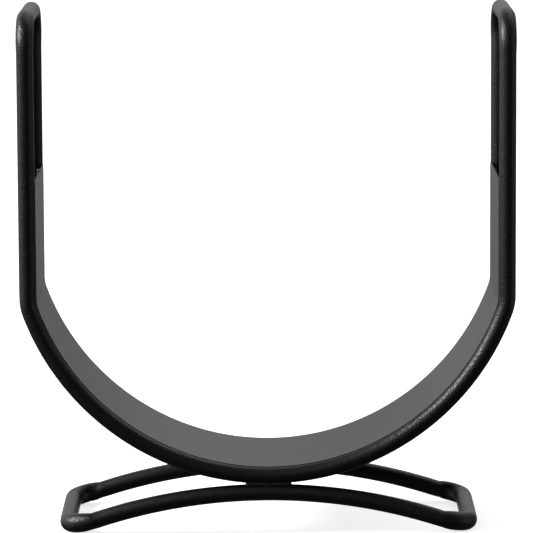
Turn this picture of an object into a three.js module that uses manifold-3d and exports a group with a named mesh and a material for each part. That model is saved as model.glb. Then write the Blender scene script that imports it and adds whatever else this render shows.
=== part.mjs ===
// Bent-wire stand: a closed wire loop folded into a U-shaped cradle, a thin sheet lining the
// inside of the U, and a second, arched wire loop welded under it as the base.
// Units are millimetres, +Z is up, +X is along the base and -Y is the front.
// The origin is on the floor, under the middle of the stand.

import * as THREE from 'three';
import * as BufferGeometryUtils from 'three/addons/utils/BufferGeometryUtils.js';
import Module from 'manifold-3d';

// Wire, the same bar for both loops
const wireDiameter = 4;
const wireRadius = wireDiameter / 2;
const hoopSpacing = 39; // front run to rear run, centre to centre

// Cradle loop
const cradleWidth = 118; // outside of the arms
const standHeight = 125; // floor to the top of the arms
const arcFlare = 3; // how much longer the radius of the round bottom is than its half-width
const kinkRadius = 9; // where the round bottom turns into the straight arms
const armBendRadius = 7; // top of each arm, front to rear

// Base loop
const baseLength = 100.2; // outside of the end bars
const archRadius = 132; // centre line of the arched runs
const baseEndSlope = THREE.MathUtils.degToRad(10); // slope of the corners above the floor
const baseEaseRadius = 12; // where the arch eases into the corner
const baseCornerRadius = 5.5;

// Liner sheet
const sheetThickness = 0.25;
const sheetWidth = hoopSpacing; // each edge lies on the middle of a wire
const openLoopHeight = 40.2; // ends of the sheet to the top of the arms
const sheetCornerRadius = 2;
const sheetSeatGap = 0.05; // between the sheet and the wires it lies on

// Welds
const weldGap = 0.2; // between a weld bead and the pieces it joins
const crownGap = 0.1; // between the cradle and the crown of the base
const crownWeldLength = 11;
const crownWeldInset = 0.1; // face of the bead to the side of the wire
const tackCount = 7; // along each edge of the sheet
const tackLength = 5;
const tackToe = 1.2; // side of the wire to the toe of the bead
const tackRootAngle = THREE.MathUtils.degToRad(20); // where the bead meets the side of the wire
const tackInset = 3.5; // end of the sheet to the middle of the first tack
const buttGap = 2.4; // between the two cut ends of a loop
const buttWeldGap = 0.3; // between the butt weld and each end
const cradleButtStep = 4; // arc steps from the bottom of the rear hoop to its joint
const baseButtAngle = THREE.MathUtils.degToRad(9); // from the crown of the rear run to its joint

// Fineness of the model
const cradleSides = 16;
const baseSides = 18; // with this number one flat of each end bar lies on the floor
const arcSteps = 12; // from the bottom of a hoop to the kink
const kinkSteps = 3;
const cornerSteps = 6;
const archSteps = 8; // from the crown to the end of the arch
const easeSteps = 2;
const filletSteps = 4;

// Places worked out from the sizes above
const armX = cradleWidth / 2 - wireRadius;
const cradleArcRadius = armX + arcFlare;
const endBarX = baseLength / 2 - wireRadius;
const frontY = -hoopSpacing / 2;
const rearY = hoopSpacing / 2;

const archEndX = endBarX - baseCornerRadius * Math.cos(baseEndSlope);
const archAngle = Math.asin(
	(archEndX + baseEaseRadius * Math.sin(baseEndSlope)) / (archRadius + baseEaseRadius),
);
const archDrop = archRadius * (1 - Math.cos(archAngle));
const easeDrop = baseEaseRadius * (Math.cos(baseEndSlope) - Math.cos(archAngle));
const cornerDrop = baseCornerRadius * Math.sin(baseEndSlope);
const crownZ = wireRadius + cornerDrop + easeDrop + archDrop;

const cradleBottomZ = crownZ + wireDiameter + crownGap;
const arcCentreZ = cradleBottomZ + cradleArcRadius;
const kinkCentreDrop = Math.sqrt((cradleArcRadius - kinkRadius) ** 2 - (armX - kinkRadius) ** 2);
const kinkZ = arcCentreZ - kinkCentreDrop;
const arcAngle = Math.atan2(armX - kinkRadius, kinkCentreDrop);
const kinkAngle = Math.PI / 2 - arcAngle;
const armTopZ = standHeight - wireRadius;
const armLength = armTopZ - armBendRadius - kinkZ;
const sheetTop = standHeight - openLoopHeight;

const X = new THREE.Vector3(1, 0, 0);
const Y = new THREE.Vector3(0, 1, 0);
const Z = new THREE.Vector3(0, 0, 1);

const powderCoat = new THREE.MeshStandardMaterial({ color: 0x1b1b1d, roughness: 0.55, metalness: 0 });
const coatedWeld = new THREE.MeshStandardMaterial({ color: 0x1f1f21, roughness: 0.6, metalness: 0 });

const stand = new THREE.Group();

function addPiece(name, geometry, material) {
	const piece = new THREE.Mesh(geometry, material);
	piece.name = name;
	stand.add(piece);
	return piece;
}

// The centre line of a bar as it goes through the bender: straight runs and round bends.
// Its stations are the ends of the runs and evenly spaced steps in the bends.
class BentBar extends THREE.Curve {
	constructor(start, heading) {
		super();
		this.points = [start.clone()];
		this.headings = [heading.clone().normalize()];
	}

	straight(length) {
		const heading = this.headings.at(-1);
		this.points.push(this.points.at(-1).clone().addScaledVector(heading, length));
		this.headings.push(heading.clone());
		return this;
	}

	bend(radius, angle, axis, steps) {
		const unitAxis = axis.clone().normalize();
		const start = this.points.at(-1);
		const heading = this.headings.at(-1);
		const toCentre = unitAxis.clone().cross(heading).multiplyScalar(radius);
		const centre = start.clone().add(toCentre);
		for (let i = 1; i <= steps; i++) {
			const turn = (angle * i) / steps;
			const spoke = toCentre.clone().negate().applyAxisAngle(unitAxis, turn);
			this.points.push(centre.clone().add(spoke));
			this.headings.push(heading.clone().applyAxisAngle(unitAxis, turn));
		}
		return this;
	}

	get steps() {
		return this.points.length - 1;
	}

	getPointAt(u, target = new THREE.Vector3()) {
		return target.copy(this.points[Math.round(u * this.steps)]);
	}

	getTangentAt(u, target = new THREE.Vector3()) {
		return target.copy(this.headings[Math.round(u * this.steps)]);
	}
}

// A round section with flats, measured across the flats.
function roundSection(diameter, sides) {
	const cornerRadius = diameter / 2 / Math.cos(Math.PI / sides);
	const corners = [];
	for (let i = 0; i < sides; i++) {
		const angle = ((i + 0.5) * 2 * Math.PI) / sides;
		corners.push(new THREE.Vector2(cornerRadius * Math.cos(angle), cornerRadius * Math.sin(angle)));
	}
	return new THREE.Shape(corners);
}

function wire(path, sides) {
	return new THREE.ExtrudeGeometry(roundSection(wireDiameter, sides), {
		steps: path.steps,
		extrudePath: path,
	});
}

// Cradle loop: rear hoop from its butt joint to the right, over the right arm, along the front
// hoop to the left, over the left arm, and back to the joint.
const arcPitch = arcAngle / arcSteps;
const cradleHalfGap = buttGap / 2 / cradleArcRadius;
const cradleJointAngle = -cradleButtStep * arcPitch;

function onRearArc(angle) {
	return new THREE.Vector3(
		cradleArcRadius * Math.sin(angle),
		rearY,
		arcCentreZ - cradleArcRadius * Math.cos(angle),
	);
}

function alongArc(angle) {
	return new THREE.Vector3(Math.cos(angle), 0, Math.sin(angle));
}

function armOver(bar, axis) {
	const topBar = hoopSpacing - 2 * armBendRadius;
	bar.straight(armLength);
	bar.bend(armBendRadius, Math.PI / 2, axis, cornerSteps);
	bar.straight(topBar);
	bar.bend(armBendRadius, Math.PI / 2, axis, cornerSteps);
	bar.straight(armLength);
}

function cradlePath() {
	const minusX = X.clone().negate();
	const minusY = Y.clone().negate();
	const start = cradleJointAngle + cradleHalfGap;
	const firstStep = arcPitch - cradleHalfGap;
	const bar = new BentBar(onRearArc(start), alongArc(start));
	bar.bend(cradleArcRadius, firstStep, minusY, 1);
	const toRight = cradleButtStep - 1 + arcSteps;
	bar.bend(cradleArcRadius, toRight * arcPitch, minusY, toRight);
	bar.bend(kinkRadius, kinkAngle, minusY, kinkSteps);
	armOver(bar, X);
	bar.bend(kinkRadius, kinkAngle, Y, kinkSteps);
	bar.bend(cradleArcRadius, 2 * arcAngle, Y, 2 * arcSteps);
	bar.bend(kinkRadius, kinkAngle, Y, kinkSteps);
	armOver(bar, minusX);
	bar.bend(kinkRadius, kinkAngle, minusY, kinkSteps);
	const fromLeft = arcSteps - cradleButtStep - 1;
	bar.bend(cradleArcRadius, fromLeft * arcPitch, minusY, fromLeft);
	bar.bend(cradleArcRadius, firstStep, minusY, 1);
	return bar;
}

addPiece('cradle_loop', wire(cradlePath(), cradleSides), powderCoat);

// Base loop: a flat rounded rectangle rolled into a shallow arch, from its butt joint in the rear
// run to the right end bar, along the front run to the left one, and back.
function onRearArch(angle) {
	return new THREE.Vector3(
		archRadius * Math.sin(angle),
		rearY,
		crownZ - archRadius * (1 - Math.cos(angle)),
	);
}

function baseEnd(bar, cornerAxis, easeIn, easeOut) {
	const endBar = hoopSpacing - 2 * baseCornerRadius;
	bar.bend(baseEaseRadius, archAngle - baseEndSlope, easeIn, easeSteps);
	bar.bend(baseCornerRadius, Math.PI / 2, cornerAxis, cornerSteps);
	bar.straight(endBar);
	bar.bend(baseCornerRadius, Math.PI / 2, cornerAxis, cornerSteps);
	bar.bend(baseEaseRadius, archAngle - baseEndSlope, easeOut, easeSteps);
}

function basePath() {
	const minusY = Y.clone().negate();
	const halfGap = buttGap / 2 / archRadius;
	const start = baseButtAngle + halfGap;
	const sin = Math.sin(baseEndSlope);
	const cos = Math.cos(baseEndSlope);
	const rightAxis = new THREE.Vector3(-sin, 0, -cos);
	const leftAxis = new THREE.Vector3(sin, 0, -cos);
	const bar = new BentBar(onRearArch(start), new THREE.Vector3(Math.cos(start), 0, -Math.sin(start)));
	bar.bend(archRadius, archAngle - start, Y, archSteps / 2);
	baseEnd(bar, rightAxis, minusY, Y);
	bar.bend(archRadius, 2 * archAngle, minusY, 2 * archSteps);
	baseEnd(bar, leftAxis, Y, minusY);
	bar.bend(archRadius, archAngle + baseButtAngle - halfGap, Y, archSteps + archSteps / 2);
	return bar;
}

addPiece('base_loop', wire(basePath(), baseSides), powderCoat);

// Butt welds: ground flush, each fills the joint where a loop's two cut ends meet.
function buttWeld(name, place, heading) {
	const radius = wireRadius;
	const geometry = new THREE.CylinderGeometry(radius, radius, buttGap - 2 * buttWeldGap, cradleSides);
	const weld = addPiece(name, geometry, coatedWeld);
	weld.position.copy(place);
	weld.quaternion.setFromUnitVectors(Y, heading);
}

buttWeld('cradle_butt_weld', onRearArc(cradleJointAngle), alongArc(cradleJointAngle));
buttWeld(
	'base_butt_weld',
	onRearArch(baseButtAngle),
	new THREE.Vector3(Math.cos(baseButtAngle), 0, -Math.sin(baseButtAngle)),
);

// Liner sheet: a strip that follows the inside of both hoops, with its top corners rounded.
function linerEdge(offset) {
	const bar = new BentBar(new THREE.Vector3(-armX + offset, 0, sheetTop), Z.clone().negate());
	const minusY = Y.clone().negate();
	bar.straight(sheetTop - kinkZ);
	bar.bend(kinkRadius - offset, kinkAngle, minusY, kinkSteps);
	bar.bend(cradleArcRadius - offset, 2 * arcAngle, minusY, 2 * arcSteps);
	bar.bend(kinkRadius - offset, kinkAngle, minusY, kinkSteps);
	bar.straight(sheetTop - kinkZ);
	return bar.points.map((point) => new THREE.Vector2(point.x, point.z));
}

function linerStrip() {
	const outer = linerEdge(wireRadius + sheetSeatGap);
	const inner = linerEdge(wireRadius + sheetSeatGap + sheetThickness);
	const outline = new THREE.Shape([...outer, ...inner.reverse()]);
	const strip = new THREE.ExtrudeGeometry(outline, { depth: sheetWidth, bevelEnabled: false });
	strip.rotateX(Math.PI / 2);
	strip.translate(0, sheetWidth / 2, 0);
	return strip;
}

// What is cut off at a top corner: a square with a quarter circle left in it, right through X.
function cornerCutter(side) {
	const past = 1;
	const edge = sheetWidth / 2;
	const shape = new THREE.Shape();
	shape.moveTo(edge - sheetCornerRadius, sheetTop);
	shape.absarc(edge - sheetCornerRadius, sheetTop - sheetCornerRadius, sheetCornerRadius,
		Math.PI / 2, 0, true);
	shape.lineTo(edge + past, sheetTop - sheetCornerRadius);
	shape.lineTo(edge + past, sheetTop + past);
	shape.lineTo(edge - sheetCornerRadius, sheetTop + past);
	const through = cradleWidth;
	const cutter = new THREE.ExtrudeGeometry(shape, {
		depth: through,
		bevelEnabled: false,
		curveSegments: filletSteps,
	});
	cutter.translate(0, 0, -through / 2);
	cutter.applyMatrix4(new THREE.Matrix4().makeBasis(Y, Z, X));
	if (side < 0) cutter.rotateZ(Math.PI);
	return cutter;
}

const wasm = await Module();
wasm.setup();

function toSolid(geometry) {
	const bare = geometry.clone();
	bare.deleteAttribute('normal');
	bare.deleteAttribute('uv');
	const merged = BufferGeometryUtils.mergeVertices(bare, 1e-5);
	const mesh = new wasm.Mesh({
		numProp: 3,
		vertProperties: new Float32Array(merged.attributes.position.array),
		triVerts: new Uint32Array(merged.index.array),
	});
	return new wasm.Manifold(mesh);
}

function toGeometry(solid) {
	const mesh = solid.getMesh();
	const geometry = new THREE.BufferGeometry();
	geometry.setAttribute('position', new THREE.BufferAttribute(mesh.vertProperties, 3));
	geometry.setIndex(new THREE.BufferAttribute(mesh.triVerts, 1));
	geometry.computeVertexNormals();
	return geometry;
}

const liner = toSolid(linerStrip())
	.subtract(toSolid(cornerCutter(1)))
	.subtract(toSolid(cornerCutter(-1)));
addPiece('liner_sheet', toGeometry(liner), powderCoat);

// Points on a circle about (cx, cy), from one angle to another.
function arcPoints(cx, cy, radius, from, to, steps) {
	const points = [];
	for (let i = 0; i <= steps; i++) {
		const angle = from + ((to - from) * i) / steps;
		points.push(new THREE.Vector2(cx + radius * Math.cos(angle), cy + radius * Math.sin(angle)));
	}
	return points;
}

// Crown welds: beads in the grooves before and behind each hoop, where it rests on the base.
const clearRadius = wireRadius / Math.cos(Math.PI / cradleSides) + weldGap;

function crownBead() {
	const halfPitch = wireRadius + crownGap / 2; // contact plane to the middle of each wire
	const tip = Math.acos(halfPitch / clearRadius);
	const face = Math.asin((wireRadius - crownWeldInset) / clearRadius);
	const under = arcPoints(0, halfPitch, clearRadius, -Math.PI / 2 + tip, -Math.PI / 2 + face, filletSteps);
	const over = arcPoints(0, -halfPitch, clearRadius, Math.PI / 2 - face, Math.PI / 2 - tip, filletSteps);
	over.pop();
	const bead = new THREE.ExtrudeGeometry(new THREE.Shape([...under, ...over]), {
		depth: crownWeldLength,
		bevelEnabled: false,
	});
	bead.translate(0, 0, -crownWeldLength / 2);
	bead.applyMatrix4(new THREE.Matrix4().makeBasis(Y, Z, X));
	return bead;
}

const contactZ = crownZ + wireRadius + crownGap / 2;

for (const [hoop, y] of [['front', frontY], ['rear', rearY]]) {
	const outward = Math.sign(y);
	for (const [face, side] of [['outer', outward], ['inner', -outward]]) {
		const bead = addPiece(`crown_weld_${hoop}_${face}`, crownBead(), coatedWeld);
		bead.position.set(0, y, contactZ);
		if (side < 0) bead.rotation.z = Math.PI;
	}
}

// Sheet tacks: short beads between the wires and the underside of the sheet.
const kinkLength = kinkRadius * kinkAngle;
const arcLength = cradleArcRadius * arcAngle;
const sheetHalfLength = arcLength + kinkLength + (sheetTop - kinkZ);

// Middle of the wire at a distance from the bottom of the hoop, and how far it has turned there.
function alongHoop(distance) {
	const side = Math.sign(distance);
	const run = Math.abs(distance);
	const place = { x: armX, z: kinkZ + run - arcLength - kinkLength, turn: Math.PI / 2 };
	if (run < arcLength) {
		place.turn = run / cradleArcRadius;
		place.x = cradleArcRadius * Math.sin(place.turn);
		place.z = arcCentreZ - cradleArcRadius * Math.cos(place.turn);
	} else if (run < arcLength + kinkLength) {
		place.turn = arcAngle + (run - arcLength) / kinkRadius;
		place.x = armX - kinkRadius * (1 - Math.sin(place.turn));
		place.z = kinkZ - kinkRadius * Math.cos(place.turn);
	}
	place.x *= side;
	place.turn *= side;
	return place;
}

function tackBead() {
	const top = wireRadius + sheetSeatGap - weldGap;
	const tip = Math.asin(top / clearRadius);
	const root = arcPoints(0, 0, clearRadius, tackRootAngle, tip, filletSteps);
	const toe = new THREE.Vector2(wireRadius + tackToe, top);
	const bead = new THREE.ExtrudeGeometry(new THREE.Shape([toe, ...root.reverse()]), {
		depth: tackLength,
		bevelEnabled: false,
	});
	bead.translate(0, 0, -tackLength / 2);
	bead.applyMatrix4(new THREE.Matrix4().makeBasis(Y, Z, X));
	return bead;
}

const tackPitch = (2 * (sheetHalfLength - tackInset)) / (tackCount - 1);

for (const [hoop, y] of [['front', frontY], ['rear', rearY]]) {
	for (let i = 0; i < tackCount; i++) {
		const place = alongHoop(-sheetHalfLength + tackInset + i * tackPitch);
		const tack = addPiece(`sheet_tack_${hoop}_${i + 1}`, tackBead(), coatedWeld);
		tack.position.set(place.x, y, place.z);
		tack.rotation.set(0, -place.turn, y > 0 ? Math.PI : 0, 'YXZ');
	}
}

export default stand;
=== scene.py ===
# A small stand of bent steel bar, all in black textured powder coat: a bar loop folded into a
# U-shaped cradle, a thin sheet that lines the U, and an arched bar loop under it as the base.
# Lengths are in metres, +Z is up, +X runs along the base and -Y is the front.

from math import asin, atan2, ceil, cos, pi, radians, sin, sqrt

import bmesh
import bpy
from mathutils import Matrix, Vector


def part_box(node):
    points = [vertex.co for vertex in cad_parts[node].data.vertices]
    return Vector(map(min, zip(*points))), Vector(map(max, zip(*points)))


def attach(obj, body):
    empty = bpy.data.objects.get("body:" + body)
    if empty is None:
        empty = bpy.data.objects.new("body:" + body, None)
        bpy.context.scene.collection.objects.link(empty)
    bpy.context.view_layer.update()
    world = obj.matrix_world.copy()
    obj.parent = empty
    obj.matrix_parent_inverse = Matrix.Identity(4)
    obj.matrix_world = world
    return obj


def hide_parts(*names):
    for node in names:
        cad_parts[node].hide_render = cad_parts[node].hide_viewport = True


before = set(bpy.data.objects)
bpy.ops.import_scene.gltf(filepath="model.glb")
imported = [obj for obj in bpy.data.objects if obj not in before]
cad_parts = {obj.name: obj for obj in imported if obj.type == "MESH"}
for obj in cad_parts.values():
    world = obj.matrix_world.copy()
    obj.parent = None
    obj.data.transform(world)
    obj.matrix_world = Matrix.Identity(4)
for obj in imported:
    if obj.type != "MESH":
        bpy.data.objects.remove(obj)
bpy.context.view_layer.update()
mm = 0.001


# ---------------------------------------------------------------------------------------------
# Cradle loop. One length of 4 mm mild steel bar, bent into a long closed loop, then folded so
# that its two long sides become two U-shaped hoops. The bender flattens the bar a little in the
# tight bends, and the fine-texture powder coat goes on after welding, over everything.

bar_diameter = 4 * mm
bar_radius = bar_diameter / 2
bend_widening = 0.17  # growth across a bend, as a share of bar radius over bend radius
bend_flattening = 0.10  # loss between the inside and the outside of a bend, likewise
inner_bulge = 0.6  # how much more of the widening goes to the inside of a bend

cradle_low, cradle_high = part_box("cradle_loop")
arm_bend_radius = 7 * mm
arm_swell = bend_widening * bar_radius**2 / arm_bend_radius
arm_x = cradle_high.x - bar_radius - arm_swell
kink_radius = 9 * mm  # between the round bottom and the straight arms
hoop_inset = 0.095 * mm  # room for the bars to widen in their bends
hoop_y = cradle_high.y - bar_radius - hoop_inset
arm_top_z = cradle_high.z - bar_radius
hoop_bottom_z = cradle_low.z + bar_radius
arc_flare = 3 * mm  # how far the round bottom's radius passes the arms
arc_radius = arm_x + arc_flare
arc_centre_z = hoop_bottom_z + arc_radius
kink_drop = sqrt((arc_radius - kink_radius) ** 2 - (arm_x - kink_radius) ** 2)
kink_z = arc_centre_z - kink_drop
arc_angle = atan2(arm_x - kink_radius, kink_drop)
kink_angle = pi / 2 - arc_angle
arm_length = arm_top_z - arm_bend_radius - kink_z
joint_gap = 1.7 * mm  # between the two ends of a loop, filled by its butt weld
line_step = 0.8 * mm  # between the points that a bar or the sheet is drawn from
bar_sides = 40
bend_easing = 4  # points over which the widening of a bend fades in and out

AXIS_X, AXIS_Y = Vector((1, 0, 0)), Vector((0, 1, 0))


class BentBar:
    """The middle line of a bar as it goes through the bender, as closely spaced points. Each
    point has the axis that the bar turns about there, as long as bar radius over bend radius,
    and the way out of the bend."""

    def __init__(self, start, heading):
        self.points = [start.copy()]
        self.turns = [Vector()]
        self.outsides = [Vector()]
        self.heading = heading.normalized()

    def straight(self, length):
        start = self.points[-1].copy()
        steps = max(1, ceil(length / line_step))
        for i in range(1, steps + 1):
            self.points.append(start + self.heading * (length * i / steps))
            self.turns.append(Vector())
            self.outsides.append(Vector())

    def bend(self, radius, angle, axis):
        axis = axis.normalized()
        spoke = self.heading.cross(axis) * radius
        centre = self.points[-1] - spoke
        steps = max(1, ceil(radius * angle / line_step))
        for i in range(1, steps + 1):
            turned = Matrix.Rotation(angle * i / steps, 3, axis) @ spoke
            self.points.append(centre + turned)
            self.turns.append(axis * (bar_radius / radius))
            self.outsides.append(turned.normalized())
        self.heading = Matrix.Rotation(angle, 3, axis) @ self.heading

    def mesh(self, name):
        chain = bpy.data.meshes.new(name)
        edges = [(i, i + 1) for i in range(len(self.points) - 1)]
        chain.from_pydata(self.points, edges, [])
        for label, vectors in (("turn", self.turns), ("outside", self.outsides)):
            kept = chain.attributes.new(label, "FLOAT_VECTOR", "POINT")
            kept.data.foreach_set("vector", [c for vector in vectors for c in vector])
        return chain


def on_rear_arc(angle):
    return Vector((arc_radius * sin(angle), hoop_y, arc_centre_z - arc_radius * cos(angle)))


def arm_over(bar, axis):
    bar.straight(arm_length)
    bar.bend(arm_bend_radius, pi / 2, axis)
    bar.straight(2 * (hoop_y - arm_bend_radius))
    bar.bend(arm_bend_radius, pi / 2, axis)
    bar.straight(arm_length)


def cradle_bar():
    half_gap = joint_gap / 2 / arc_radius
    start = cradle_joint_angle + half_gap
    bar = BentBar(on_rear_arc(start), Vector((cos(start), 0, sin(start))))
    bar.bend(arc_radius, arc_angle - start, -AXIS_Y)
    bar.bend(kink_radius, kink_angle, -AXIS_Y)
    arm_over(bar, AXIS_X)
    bar.bend(kink_radius, kink_angle, AXIS_Y)
    bar.bend(arc_radius, 2 * arc_angle, AXIS_Y)
    bar.bend(kink_radius, kink_angle, AXIS_Y)
    arm_over(bar, -AXIS_X)
    bar.bend(kink_radius, kink_angle, -AXIS_Y)
    bar.bend(arc_radius, arc_angle + cradle_joint_angle - half_gap, -AXIS_Y)
    return bar


def add(tree, kind, inputs=(), **settings):
    """Adds a node. An input is linked if it is given a socket, and set if it is given a value."""
    node = tree.nodes.new(kind)
    for name, value in settings.items():
        setattr(node, name, value)
    for name, value in dict(inputs).items():
        if isinstance(value, bpy.types.NodeSocket):
            tree.links.new(value, node.inputs[name])
        else:
            node.inputs[name].default_value = value
    return node


def new_tree(name, sizes):
    """A Geometry Nodes tree with a geometry input, the named sizes and a material."""
    tree = bpy.data.node_groups.new(name, "GeometryNodeTree")
    tree.interface.new_socket("Geometry", in_out="OUTPUT", socket_type="NodeSocketGeometry")
    tree.interface.new_socket("Geometry", in_out="INPUT", socket_type="NodeSocketGeometry")
    for size in sizes:
        tree.interface.new_socket(size, in_out="INPUT", socket_type="NodeSocketFloat")
    tree.interface.new_socket("Coat", in_out="INPUT", socket_type="NodeSocketMaterial")
    return tree


def close_tree(tree, geometry, coat):
    smooth = add(tree, "GeometryNodeSetShadeSmooth", {"Geometry": geometry})
    real = add(tree, "GeometryNodeRealizeInstances", {"Geometry": smooth.outputs["Geometry"]})
    coated = add(tree, "GeometryNodeSetMaterial", {
        "Geometry": real.outputs["Geometry"],
        "Material": coat,
    })
    add(tree, "NodeGroupOutput", {"Geometry": coated.outputs["Geometry"]})


def round_bar_tree():
    """Sweeps a round section along the chain, and squeezes it a little in the bends."""
    tree = new_tree("round_bar", ["Diameter", "Widening", "Flattening", "Inner bulge"])
    given = add(tree, "NodeGroupInput").outputs
    radius = add(tree, "ShaderNodeMath", {0: given["Diameter"], 1: 0.5}, operation="MULTIPLY")
    radius = radius.outputs["Value"]
    line = add(tree, "GeometryNodeMeshToCurve", {"Mesh": given["Geometry"]})
    section = add(tree, "GeometryNodeCurvePrimitiveCircle", {
        "Resolution": bar_sides,
        "Radius": radius,
    })
    swept = add(tree, "GeometryNodeCurveToMesh", {
        "Curve": line.outputs["Curve"],
        "Profile Curve": section.outputs["Curve"],
        "Fill Caps": True,
    })
    turn = add(tree, "GeometryNodeInputNamedAttribute", {"Name": "turn"}, data_type="FLOAT_VECTOR")
    eased = add(tree, "GeometryNodeBlurAttribute", {
        "Value": turn.outputs["Attribute"],
        "Iterations": bend_easing,
    }, data_type="FLOAT_VECTOR")
    eased = eased.outputs["Value"]
    size = add(tree, "ShaderNodeVectorMath", {0: eased}, operation="LENGTH").outputs["Value"]
    axis = add(tree, "ShaderNodeVectorMath", {0: eased}, operation="NORMALIZE").outputs["Vector"]
    normal = add(tree, "GeometryNodeInputNormal").outputs["Normal"]
    along = add(tree, "ShaderNodeVectorMath", {0: normal, 1: axis}, operation="DOT_PRODUCT")
    outside = add(tree, "GeometryNodeInputNamedAttribute", {"Name": "outside"},
                  data_type="FLOAT_VECTOR")
    outward = add(tree, "ShaderNodeVectorMath", {
        0: normal,
        1: outside.outputs["Attribute"],
    }, operation="DOT_PRODUCT")
    bulge = add(tree, "ShaderNodeMath", {
        0: outward.outputs["Value"],
        1: given["Inner bulge"],
    }, operation="MULTIPLY")
    bulge = add(tree, "ShaderNodeMath", {0: 1.0, 1: bulge.outputs["Value"]}, operation="SUBTRACT")
    both = add(tree, "ShaderNodeMath", {
        0: given["Widening"],
        1: bulge.outputs["Value"],
        2: given["Flattening"],
    }, operation="MULTIPLY_ADD")
    sideways = add(tree, "ShaderNodeMath", {
        0: along.outputs["Value"],
        1: both.outputs["Value"],
    }, operation="MULTIPLY")
    out = add(tree, "ShaderNodeVectorMath", {0: axis, "Scale": sideways.outputs["Value"]},
              operation="SCALE")
    back = add(tree, "ShaderNodeVectorMath", {0: normal, "Scale": given["Flattening"]},
               operation="SCALE")
    squeeze = add(tree, "ShaderNodeVectorMath", {
        0: out.outputs["Vector"],
        1: back.outputs["Vector"],
    }, operation="SUBTRACT")
    depth = add(tree, "ShaderNodeMath", {0: size, 1: radius}, operation="MULTIPLY")
    offset = add(tree, "ShaderNodeVectorMath", {
        0: squeeze.outputs["Vector"],
        "Scale": depth.outputs["Value"],
    }, operation="SCALE")
    squeezed = add(tree, "GeometryNodeSetPosition", {
        "Geometry": swept.outputs["Mesh"],
        "Offset": offset.outputs["Vector"],
    })
    close_tree(tree, squeezed.outputs["Geometry"], given["Coat"])
    return tree


def build(name, chain, tree, values):
    """Runs the tree on the chain and keeps the result as a plain mesh."""
    piece = bpy.data.objects.new(name, chain)
    bpy.context.scene.collection.objects.link(piece)
    modifier = piece.modifiers.new(tree.name, "NODES")
    modifier.node_group = tree
    for item in tree.interface.items_tree:
        if item.in_out == "INPUT" and item.name in values:
            modifier[item.identifier] = values[item.name]
    evaluated = piece.evaluated_get(bpy.context.evaluated_depsgraph_get())
    plain = bpy.data.meshes.new_from_object(evaluated)
    piece.modifiers.remove(modifier)
    piece.data = plain
    plain.name = name
    return piece


def stand_for(piece, nodes):
    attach(piece, "root")
    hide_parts(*nodes)


def linear(srgb_hex):
    """An sRGB colour such as 1a1a1c as linear red, green, blue and alpha."""
    channels = [int(srgb_hex[i : i + 2], 16) / 255 for i in (0, 2, 4)]
    curve = [c / 12.92 if c <= 0.04045 else ((c + 0.055) / 1.055) ** 2.4 for c in channels]
    return (*curve, 1.0)


dark_pigment = "0b0b0d"
pale_pigment = "131315"
flow_waves = 6  # grains across one slow wave that the melting powder leaves
flow_share = 0.6  # height of those waves against that of the grain


def powder_coat(name, grain, depth, smooth, rough):
    """Black fine-texture polyester powder coat, sprayed and baked. The melted powder leaves a
    dense, even grain that scatters light, so it is near black face on, greys over at a glancing
    angle and shows small bright specks where it faces a lamp. Smooth and rough are the roughness
    in the hollows of the grain and on its tops."""
    coat = bpy.data.materials.new(name)
    coat.use_nodes = True
    tree = coat.node_tree
    tree.nodes.clear()
    place = add(tree, "ShaderNodeTexCoord").outputs["Object"]
    fine = add(tree, "ShaderNodeTexNoise", {
        "Vector": place,
        "Scale": 1 / grain,
        "Detail": 3.0,
        "Roughness": 0.6,
    })
    flow = add(tree, "ShaderNodeTexNoise", {
        "Vector": place,
        "Scale": 1 / (flow_waves * grain),
        "Detail": 1.0,
    })
    pebble = add(tree, "ShaderNodeTexVoronoi", {"Vector": place, "Scale": 1 / grain})
    rise = add(tree, "ShaderNodeMath", {
        0: fine.outputs["Fac"],
        1: pebble.outputs["Distance"],
    }, operation="SUBTRACT")
    height = add(tree, "ShaderNodeMath", {
        0: flow.outputs["Fac"],
        1: flow_share,
        2: rise.outputs["Value"],
    }, operation="MULTIPLY_ADD")
    bump = add(tree, "ShaderNodeBump", {
        "Strength": 1.0,
        "Distance": depth,
        "Height": height.outputs["Value"],
    })
    shade = add(tree, "ShaderNodeMix", {
        "Factor": flow.outputs["Fac"],
        6: linear(dark_pigment),
        7: linear(pale_pigment),
    }, data_type="RGBA")
    gloss = add(tree, "ShaderNodeMapRange", {
        "Value": fine.outputs["Fac"],
        "From Min": 0.3,
        "From Max": 0.7,
        "To Min": smooth,
        "To Max": rough,
    })
    surface = add(tree, "ShaderNodeBsdfPrincipled", {
        "Base Color": shade.outputs[2],
        "Roughness": gloss.outputs["Result"],
        "IOR": 1.5,
        "Normal": bump.outputs["Normal"],
    })
    add(tree, "ShaderNodeOutputMaterial", {"Surface": surface.outputs["BSDF"]})
    return coat


fine_texture_coat = powder_coat(
    "fine_texture_powder_coat",
    grain=0.4 * mm,  # coarser than the real 0.3 mm, which is too fine to show
    depth=0.06 * mm,
    smooth=0.31,
    rough=0.44,
)
round_bar = round_bar_tree()
bar_values = {
    "Diameter": bar_diameter,
    "Widening": bend_widening,
    "Flattening": bend_flattening,
    "Inner bulge": inner_bulge,
    "Coat": fine_texture_coat,
}
weld_low, weld_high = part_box("cradle_butt_weld")
cradle_joint_angle = asin((weld_low.x + weld_high.x) / 2 / arc_radius)

cradle = build("cradle_loop_bar", cradle_bar().mesh("cradle_line"), round_bar, bar_values)
stand_for(cradle, ["cradle_loop"])


# ---------------------------------------------------------------------------------------------
# Base loop. The same bar, bent into a long flat loop with round corners, and its long sides then
# rolled into a shallow arch, so that it stands on its two end bars and meets the cradle at its
# crown. The roll stops short of the corners, which stay a little tilted.

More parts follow.
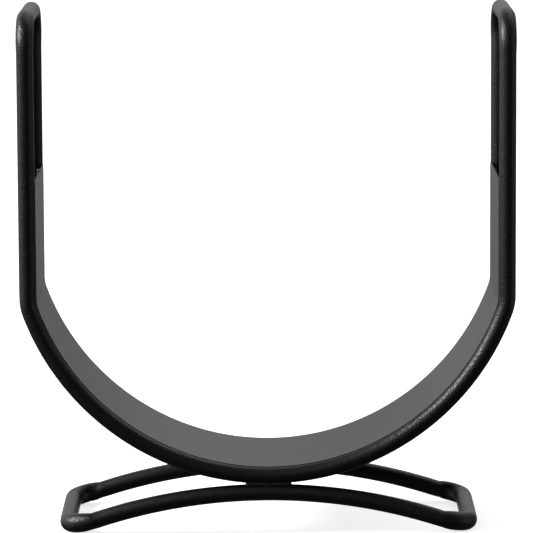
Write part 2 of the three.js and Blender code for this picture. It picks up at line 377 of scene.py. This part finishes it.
base_low, base_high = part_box("base_loop")
base_length = 100.2 * mm
base_end_slope = radians(10)
base_arch_radius = 132 * mm
base_ease_radius = 12 * mm
base_corner_radius = 5.5 * mm
base_widening = 0.38  # the tight corners bulge more than the cradle's bends
end_bar_x = base_length / 2 - bar_radius
arch_end_x = end_bar_x - base_corner_radius * cos(base_end_slope)
arch_angle = asin(
    (arch_end_x + base_ease_radius * sin(base_end_slope)) / (base_arch_radius + base_ease_radius)
)
crown_z = base_high.z - bar_radius
weld_low, weld_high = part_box("base_butt_weld")
base_joint_angle = asin((weld_low.x + weld_high.x) / 2 / base_arch_radius)


def base_end(bar, corner_axis, ease_in, ease_out):
    bar.bend(base_ease_radius, arch_angle - base_end_slope, ease_in)
    bar.bend(base_corner_radius, pi / 2, corner_axis)
    bar.straight(2 * (hoop_y - base_corner_radius))
    bar.bend(base_corner_radius, pi / 2, corner_axis)
    bar.bend(base_ease_radius, arch_angle - base_end_slope, ease_out)


def on_rear_arch(angle):
    drop = base_arch_radius * (1 - cos(angle))
    return Vector((base_arch_radius * sin(angle), hoop_y, crown_z - drop))


def base_bar():
    half_gap = joint_gap / 2 / base_arch_radius
    start = base_joint_angle + half_gap
    right_axis = Vector((-sin(base_end_slope), 0, -cos(base_end_slope)))
    left_axis = Vector((sin(base_end_slope), 0, -cos(base_end_slope)))
    bar = BentBar(on_rear_arch(start), Vector((cos(start), 0, -sin(start))))
    bar.bend(base_arch_radius, arch_angle - start, AXIS_Y)
    base_end(bar, right_axis, -AXIS_Y, AXIS_Y)
    bar.bend(base_arch_radius, 2 * arch_angle, -AXIS_Y)
    base_end(bar, left_axis, AXIS_Y, -AXIS_Y)
    bar.bend(base_arch_radius, arch_angle + base_joint_angle - half_gap, AXIS_Y)
    return bar


base_values = {**bar_values, "Widening": base_widening}
base = build("base_loop_bar", base_bar().mesh("base_line"), round_bar, base_values)
for vertex in base.data.vertices:
    vertex.co.z = max(vertex.co.z, base_low.z)  # the coat is rubbed flat where it stands
stand_for(base, ["base_loop"])


# ---------------------------------------------------------------------------------------------
# Liner sheet. A strip of 0.25 mm steel sheet with its four corners rounded, rolled to the inside
# of both hoops and tacked to them from outside. Its edges lie on the middle of each bar.

sheet_thickness = 0.25 * mm
sheet_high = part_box("liner_sheet")[1]
sheet_half_width = sheet_high.y
sheet_corner_radius = 2 * mm
corner_steps = 8
middle_steps = 4
sheet_edge_radius = 0.12 * mm  # the coat rounds the cut edge over
coat_bridge = 0.12 * mm  # and fills the step from the sheet down to the bar
arc_length = arc_radius * arc_angle
kink_length = kink_radius * kink_angle
sheet_half_length = arc_length + kink_length + sheet_high.z - kink_z


def along_hoop(distance):
    """The middle of the bar at a distance from the bottom of a hoop, and how far it has turned."""
    run = abs(distance)
    if run < arc_length:
        turn = run / arc_radius
        x = arc_radius * sin(turn)
        z = arc_centre_z - arc_radius * cos(turn)
    elif run < arc_length + kink_length:
        turn = arc_angle + (run - arc_length) / kink_radius
        x = arm_x - kink_radius * (1 - sin(turn))
        z = kink_z - kink_radius * cos(turn)
    else:
        turn = pi / 2
        x = arm_x
        z = kink_z + run - arc_length - kink_length
    side = 1 if distance > 0 else -1
    return x * side, z, turn * side


def inside_hoop(distance, y, offset):
    """A point on the inner side of the hoops, at an offset from the middle of the bar."""
    x, z, turn = along_hoop(distance)
    return Vector((x - offset * sin(turn), y, z + offset * cos(turn)))


def corner_cut(y):
    """How much shorter the strip is at a distance y from its middle line."""
    past = abs(y) - (sheet_half_width - sheet_corner_radius)
    if past <= 0:
        return 0.0
    return sheet_corner_radius - sqrt(max(0.0, sheet_corner_radius**2 - past**2))


def liner():
    """The strip as a grid on the hoops' inner side, given its thickness and its eased edges."""
    quarter = [pi / 2 * i / corner_steps for i in range(corner_steps + 1)]
    corner = [sheet_corner_radius * sin(angle) for angle in quarter]
    right = [sheet_half_width - sheet_corner_radius + y for y in corner]
    middle = [right[0] * i / middle_steps for i in range(1 - middle_steps, middle_steps)]
    across = [-y for y in reversed(right)] + middle + right
    rows = ceil(2 * sheet_half_length / line_step)
    seat = bar_radius - coat_bridge
    shell = bmesh.new()
    grid = []
    for i in range(rows + 1):
        share = 2 * i / rows - 1
        grid.append([
            shell.verts.new(inside_hoop(share * (sheet_half_length - corner_cut(y)), y, seat))
            for y in across
        ])
    for upper, lower in zip(grid, grid[1:]):
        for j in range(len(across) - 1):
            shell.faces.new((upper[j], upper[j + 1], lower[j + 1], lower[j]))
    for face in shell.faces:
        face.smooth = True
    sheet = bpy.data.meshes.new("liner_sheet_strip")
    shell.to_mesh(sheet)
    shell.free()
    piece = bpy.data.objects.new("liner_sheet_strip", sheet)
    bpy.context.scene.collection.objects.link(piece)
    wall = piece.modifiers.new("wall", "SOLIDIFY")
    wall.thickness = sheet_thickness
    wall.offset = -1
    edge = piece.modifiers.new("edge", "BEVEL")
    edge.width = sheet_edge_radius
    edge.segments = 4
    edge.limit_method = "ANGLE"
    edge.angle_limit = radians(50)
    edge.harden_normals = True
    return piece


strip = liner()
strip.data.materials.append(fine_texture_coat)
stand_for(strip, ["liner_sheet"])


# ---------------------------------------------------------------------------------------------
# Weld beads. Short runs of weld, each laid in one pass, so that it has a row of overlapping
# ripples and blunt, rounded ends. Four fill the grooves where the hoops rest on the crown of the
# base, and fourteen tack the sheet to the hoops on its outer face. The same coat covers them.

crown_bead_radius = 0.8 * mm
crown_bead_half_length = 5.5 * mm
crown_bead_inset = 0.6 * mm  # side of the bar to the face of the bead
tack_bead_radius = 0.72 * mm
tack_length = 5 * mm
tack_count = 7
tack_inset = 3.5 * mm
tack_from_bar = 2.25 * mm  # middle of the bar to the middle of the bead, across the hoop
ripple_pitch = 0.9 * mm
ripple_depth = 0.09  # as a share of the bead's radius
unevenness = 0.12 * mm
lump_size = 1.6 * mm
bead_step = 0.08 * mm
bead_sides = 24
end_bluntness = 3.0  # 2 would end a bead in a half ball, more is blunter
end_thickness = 0.03  # square of the thickness left at its very end
half_line = 5  # points on each side of the middle of a bead's line


def weld_bead_tree():
    """A bead along each chain: round ends, ripples at even steps and an uneven width."""
    tree = new_tree("weld_bead", ["Radius", "Ripple pitch", "Ripple depth", "Unevenness"])
    given = add(tree, "NodeGroupInput").outputs
    line = add(tree, "GeometryNodeMeshToCurve", {"Mesh": given["Geometry"]})
    fine = add(tree, "GeometryNodeResampleCurve", {
        "Curve": line.outputs["Curve"],
        "Length": bead_step,
    }, mode="LENGTH")
    travelled = add(tree, "GeometryNodeSplineParameter").outputs["Length"]
    whole = add(tree, "GeometryNodeSplineLength").outputs["Length"]
    left = add(tree, "ShaderNodeMath", {0: whole, 1: travelled}, operation="SUBTRACT")
    to_end = add(tree, "ShaderNodeMath", {0: travelled, 1: left.outputs["Value"]},
                 operation="MINIMUM")
    near = add(tree, "ShaderNodeMath", {0: to_end.outputs["Value"], 1: given["Radius"]},
               operation="DIVIDE", use_clamp=True)
    short = add(tree, "ShaderNodeMath", {0: 1.0, 1: near.outputs["Value"]}, operation="SUBTRACT")
    taper = add(tree, "ShaderNodeMath", {0: short.outputs["Value"], 1: end_bluntness},
                operation="POWER")
    dome = add(tree, "ShaderNodeMath", {0: 1.0, 1: taper.outputs["Value"]}, operation="SUBTRACT")
    dome = add(tree, "ShaderNodeMath", {0: dome.outputs["Value"], 1: end_thickness},
               operation="MAXIMUM")
    dome = add(tree, "ShaderNodeMath", {0: dome.outputs["Value"]}, operation="SQRT")
    phase = add(tree, "ShaderNodeMath", {0: travelled, 1: given["Ripple pitch"]},
                operation="DIVIDE")
    wave = add(tree, "ShaderNodeMath", {0: phase.outputs["Value"], 1: pi}, operation="MULTIPLY")
    wave = add(tree, "ShaderNodeMath", {0: wave.outputs["Value"]}, operation="SINE")
    wave = add(tree, "ShaderNodeMath", {0: wave.outputs["Value"]}, operation="ABSOLUTE")
    ripple = add(tree, "ShaderNodeMath", {
        0: wave.outputs["Value"],
        1: given["Ripple depth"],
        2: dome.outputs["Value"],
    }, operation="MULTIPLY_ADD")
    sectioned = add(tree, "GeometryNodeSetCurveRadius", {
        "Curve": fine.outputs["Curve"],
        "Radius": ripple.outputs["Value"],
    })
    section = add(tree, "GeometryNodeCurvePrimitiveCircle", {
        "Resolution": bead_sides,
        "Radius": given["Radius"],
    })
    swept = add(tree, "GeometryNodeCurveToMesh", {
        "Curve": sectioned.outputs["Curve"],
        "Profile Curve": section.outputs["Curve"],
        "Scale": ripple.outputs["Value"],
        "Fill Caps": True,
    })
    place = add(tree, "GeometryNodeInputPosition").outputs["Position"]
    lumps = add(tree, "ShaderNodeTexNoise", {"Vector": place, "Scale": 1 / lump_size})
    centred = add(tree, "ShaderNodeMath", {0: lumps.outputs["Fac"], 1: 0.5}, operation="SUBTRACT")
    swell = add(tree, "ShaderNodeMath", {
        0: centred.outputs["Value"],
        1: given["Unevenness"],
    }, operation="MULTIPLY")
    normal = add(tree, "GeometryNodeInputNormal").outputs["Normal"]
    offset = add(tree, "ShaderNodeVectorMath", {0: normal, "Scale": swell.outputs["Value"]},
                 operation="SCALE")
    lumpy = add(tree, "GeometryNodeSetPosition", {
        "Geometry": swept.outputs["Mesh"],
        "Offset": offset.outputs["Vector"],
    })
    close_tree(tree, lumpy.outputs["Geometry"], given["Coat"])
    return tree


def chains(name, lines):
    """One mesh holding each line of points as a chain of its own."""
    points, edges = [], []
    for line in lines:
        edges += [(len(points) + i, len(points) + i + 1) for i in range(len(line) - 1)]
        points += line
    mesh = bpy.data.meshes.new(name)
    mesh.from_pydata(points, edges, [])
    return mesh


contact_z = (crown_z + hoop_bottom_z) / 2
groove_y = bar_radius - crown_bead_inset - crown_bead_radius  # middle of the bead from the bar's
crown_lines = []
for hoop in (-hoop_y, hoop_y):
    for side in (-1, 1):
        line = []
        for step in range(-half_line, half_line + 1):
            x = crown_bead_half_length * step / half_line
            rise = x**2 / 4 * (1 / arc_radius - 1 / base_arch_radius)  # midway between the bars
            line.append(Vector((x, hoop + side * groove_y, contact_z + rise)))
        crown_lines.append(line)

tack_lines = []
tack_pitch = 2 * (sheet_half_length - tack_inset) / (tack_count - 1)
for side in (-1, 1):
    for i in range(tack_count):
        middle = tack_inset - sheet_half_length + i * tack_pitch
        tack_lines.append([
            inside_hoop(middle + tack_length / 2 * step / half_line,
                        side * (hoop_y - tack_from_bar), bar_radius - tack_bead_radius)
            for step in range(-half_line, half_line + 1)
        ])

weld_coat = powder_coat(
    "powder_coat_over_weld",
    grain=0.45 * mm,  # the coat lies a little thicker and rougher over a weld
    depth=0.08 * mm,
    smooth=0.38,
    rough=0.55,
)
weld_bead = weld_bead_tree()
bead_values = {
    "Radius": crown_bead_radius,
    "Ripple pitch": ripple_pitch,
    "Ripple depth": ripple_depth,
    "Unevenness": unevenness,
    "Coat": weld_coat,
}
crown_chains = chains("crown_weld_line", crown_lines)
crown_welds = build("crown_weld_beads", crown_chains, weld_bead, bead_values)
stand_for(crown_welds, [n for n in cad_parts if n.startswith("crown_weld_")])

bead_values["Radius"] = tack_bead_radius
tack_chains = chains("sheet_tack_line", tack_lines)
tacks = build("sheet_tack_beads", tack_chains, weld_bead, bead_values)
stand_for(tacks, [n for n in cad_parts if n.startswith("sheet_tack_")])


# ---------------------------------------------------------------------------------------------
# Butt welds. Each loop's two ends meet in its rear run, and the weld there is ground back to the
# bar, a hair low, which leaves a faint band under the coat.

ground_off = 0.06 * mm  # from the bar's diameter
butt_lap = 0.1 * mm  # how far the weld runs into the bar at each end
butt_values = {**bar_values, "Diameter": bar_diameter - ground_off, "Coat": weld_coat}


def butt_weld(name, place, heading):
    bar = BentBar(place - heading * (joint_gap / 2 + butt_lap), heading)
    bar.straight(joint_gap + 2 * butt_lap)
    return build(name, bar.mesh(name), round_bar, butt_values)


heading = Vector((cos(cradle_joint_angle), 0, sin(cradle_joint_angle)))
cradle_butt = butt_weld("cradle_butt_weld_band", on_rear_arc(cradle_joint_angle), heading)
stand_for(cradle_butt, ["cradle_butt_weld"])
heading = Vector((cos(base_joint_angle), 0, -sin(base_joint_angle)))
base_butt = butt_weld("base_butt_weld_band", on_rear_arch(base_joint_angle), heading)
stand_for(base_butt, ["base_butt_weld"])


# ---------------------------------------------------------------------------------------------
# Floor, light and camera. A white table top lit from below, so that shadows on it stay faint.
# Wide soft lights stand behind and at both sides, brighter on the left, and one smaller softbox
# up on the left gives the arms' bends their highlights. None stands straight in front.

bpy.context.scene.view_settings.view_transform = "Standard"

table_half = 8
table_glow = 0.75
table_mesh = bpy.data.meshes.new("table_top")
table_corners = [(x, y, 0) for x, y in ((-1, -1), (1, -1), (1, 1), (-1, 1))]
table_mesh.from_pydata([Vector(c) * table_half for c in table_corners], [], [(0, 1, 2, 3)])
table = bpy.data.objects.new("table_top", table_mesh)
bpy.context.scene.collection.objects.link(table)
acrylic = bpy.data.materials.new("lit_white_acrylic")
acrylic.use_nodes = True
surface = acrylic.node_tree.nodes["Principled BSDF"].inputs
surface["Base Color"].default_value = linear("f2f2f2")
surface["Roughness"].default_value = 0.9
surface["Emission Color"].default_value = linear("ffffff")
surface["Emission Strength"].default_value = table_glow
table.data.materials.append(acrylic)
table.visible_glossy = False
table.visible_diffuse = False

softbox_light = bpy.data.lights.new("left_softbox", "AREA")
softbox_light.size = 0.4
softbox_light.energy = 32
softbox = bpy.data.objects.new("left_softbox", softbox_light)
softbox.location = (-1.37, -0.19, 0.91)
arm_bends = Vector((0, 0, 0.11))
to_stand = arm_bends - softbox.location
softbox.rotation_euler = to_stand.to_track_quat("-Z", "Y").to_euler()
bpy.context.scene.collection.objects.link(softbox)

# Azimuth from the back with right positive, elevation, both in degrees, and brightness
soft_lights = {
    "left": (-90, 5, 1.0),
    "front_left": (-135, 25, 0.85),
    "high_right": (45, 50, 1.0),
    "back_left": (-45, 15, 0.78),
    "back": (0, 10, 0.5),
    "back_high": (0, 42, 0.55),
    "back_low": (15, -5, 0.15),
    "right": (95, 5, 0.5),
}
fill = 0.06
light_core = radians(11.5)  # as bright as it gets out to here
light_edge = radians(35)  # and fades to nothing here

world = bpy.data.worlds.new("studio")
world.use_nodes = True
tree = world.node_tree
tree.nodes.clear()
ray = add(tree, "ShaderNodeTexCoord").outputs["Generated"]
strength = fill
for azimuth, elevation, level in soft_lights.values():
    across, up = radians(azimuth), radians(elevation)
    middle = (sin(across) * cos(up), cos(across) * cos(up), sin(up))
    near = add(tree, "ShaderNodeVectorMath", {0: ray, 1: middle}, operation="DOT_PRODUCT")
    soft = add(tree, "ShaderNodeMapRange", {
        "Value": near.outputs["Value"],
        "From Min": cos(light_edge),
        "From Max": cos(light_core),
        "To Min": 0.0,
        "To Max": level,
    }, interpolation_type="SMOOTHSTEP")
    total = add(tree, "ShaderNodeMath", {0: soft.outputs["Result"], 1: strength})
    strength = total.outputs["Value"]
backdrop = add(tree, "ShaderNodeBackground", {"Strength": strength})
add(tree, "ShaderNodeOutputWorld", {"Surface": backdrop.outputs["Background"]})
bpy.context.scene.world = world

camera_distance = 1.0315
camera_elevation = radians(7.9)
camera_roll = radians(-0.3)
aim = Vector((-0.0002, 0, 0.0616))
away = Vector((0, -cos(camera_elevation), sin(camera_elevation)))
camera_data = bpy.data.cameras.new("camera")
camera_data.sensor_width = 36
camera_data.lens = 288.5
camera = bpy.data.objects.new("camera", camera_data)
looking = (-away).to_track_quat("-Z", "Y").to_matrix() @ Matrix.Rotation(camera_roll, 3, "Z")
camera.matrix_world = Matrix.Translation(aim + away * camera_distance) @ looking.to_4x4()
bpy.context.scene.collection.objects.link(camera)
bpy.context.scene.camera = camera
